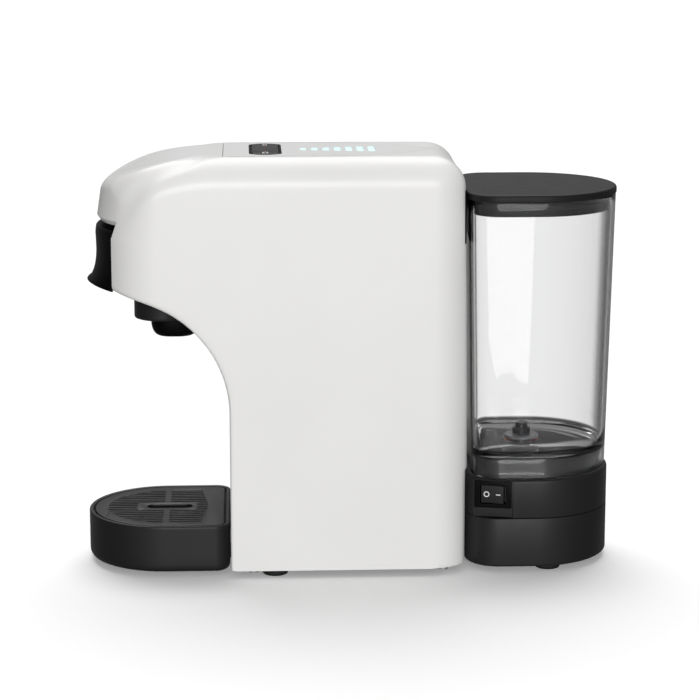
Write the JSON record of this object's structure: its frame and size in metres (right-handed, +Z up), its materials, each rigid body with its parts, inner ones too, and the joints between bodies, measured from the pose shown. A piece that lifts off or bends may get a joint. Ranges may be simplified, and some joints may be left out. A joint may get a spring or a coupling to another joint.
{
  "type": "pod coffee machine",
  "caption": "Slim pod coffee machine: white housing with an overhanging head and pod drawer, a round-fronted drip tray and a clear lift-off water tank on its own base.",
  "frame": {"origin": "middle of the footprint, on the table", "axes": "+Z up; the front with the cup space and the drip tray faces -Y; the power switch is on the +X side"},
  "size_m": [0.103, 0.32, 0.2514],
  "materials": {
    "white_shell": "satin",
    "panel_grey": "satin",
    "black_satin": "satin",
    "charcoal": "fine satin",
    "charcoal_tray": "fine satin",
    "button_gloss": "gloss",
    "lit_bars": "translucent",
    "clear_tank": "clear",
    "inner_plastic": "matte",
    "pale_plastic": "matte",
    "rubber_black": "matte",
    "silicone": "translucent",
    "seal_red": "matte",
    "cast_aluminium": "as cast",
    "steel": "plated",
    "coil_blue": "lacquered",
    "board_green": "solder mask"
  },
  "bodies": {
    "machine": {"housing": "white_shell", "bottom_plate": "charcoal", "plate_screws": "steel", "front_feet": "rubber_black", "nose_inlay": "panel_grey", "control_inlay": "panel_grey", "level_bars": "lit_bars", "button_bezel": "black_satin", "button_switch": "inner_plastic", "control_board": "board_green", "power_board": "board_green", "head_frame": "inner_plastic", "brew_head": "inner_plastic", "outlet_collar": "black_satin", "spout": "black_satin", "boiler": "cast_aluminium", "boiler_straps": "steel", "thermostat": "pale_plastic", "inner_frame": "inner_plastic", "pump_body": "pale_plastic", "pump_coil": "coil_blue", "pump_mounts": "rubber_black", "flow_meter": "pale_plastic", "suction_hose": "silicone", "meter_hose": "silicone", "pressure_hose": "silicone", "brew_hose": "silicone", "tank_dock": "black_satin", "base_lower": "charcoal", "base_upper": "charcoal", "base_screws": "steel", "rear_feet": "rubber_black", "switch_panel": "charcoal", "switch_frame": "black_satin", "switch_body": "inner_plastic", "mains_gland": "rubber_black", "valve_socket": "inner_plastic", "socket_seal": "seal_red"},
    "button": {"brew_button": "button_gloss"},
    "piston": {"piston": "pale_plastic", "piston_seal": "seal_red"},
    "drawer": {"drawer_front": "black_satin", "drawer_frame": "charcoal", "pod_holder": "cast_aluminium"},
    "rocker": {"power_rocker": "charcoal"},
    "tank": {"tank": "clear_tank", "valve_guide": "pale_plastic"},
    "lid": {"tank_lid": "charcoal", "lid_seal": "silicone"},
    "valve": {"tank_valve": "charcoal"},
    "tray": {"drip_bin": "charcoal_tray"},
    "grille": {"drip_grille": "charcoal_tray"}
  },
  "joints": [
    {"name": "button_press", "type": "slide", "parent": "machine", "child": "button", "axis": [0, 0, -1], "range_m": [0, 0.0012], "stiffness_N_per_m": 900, "springref_m": -0.001},
    {"name": "piston_slide", "type": "slide", "parent": "machine", "child": "piston", "axis": [0, 0, -1], "range_m": [0, 0.003], "stiffness_N_per_m": 1500, "springref_m": -0.002},
    {"name": "drawer_slide", "type": "slide", "parent": "machine", "child": "drawer", "axis": [0, -1, 0], "range_m": [0, 0.06]},
    {"name": "rocker_tilt", "type": "hinge", "parent": "machine", "child": "rocker", "pos_m": [0.04165, 0.084, 0.0485], "axis": [0, 0, 1], "range_deg": [0, 12]},
    {"name": "tank_lift", "type": "slide", "parent": "machine", "child": "tank", "axis": [0, 0, 1], "range_m": [0, 0.06]},
    {"name": "lid_lift", "type": "slide", "parent": "tank", "child": "lid", "axis": [0, 0, 1], "range_m": [0, 0.03]},
    {"name": "valve_lift", "type": "slide", "parent": "tank", "child": "valve", "axis": [0, 0, 1], "range_m": [0, 0.003], "stiffness_N_per_m": 200, "springref_m": -0.002},
    {"name": "tray_slide", "type": "slide", "parent": "machine", "child": "tray", "axis": [0, -1, 0], "range_m": [0, 0.09]},
    {"name": "grille_lift", "type": "slide", "parent": "tray", "child": "grille", "axis": [0, 0, 1], "range_m": [0, 0.03]}
  ]
}
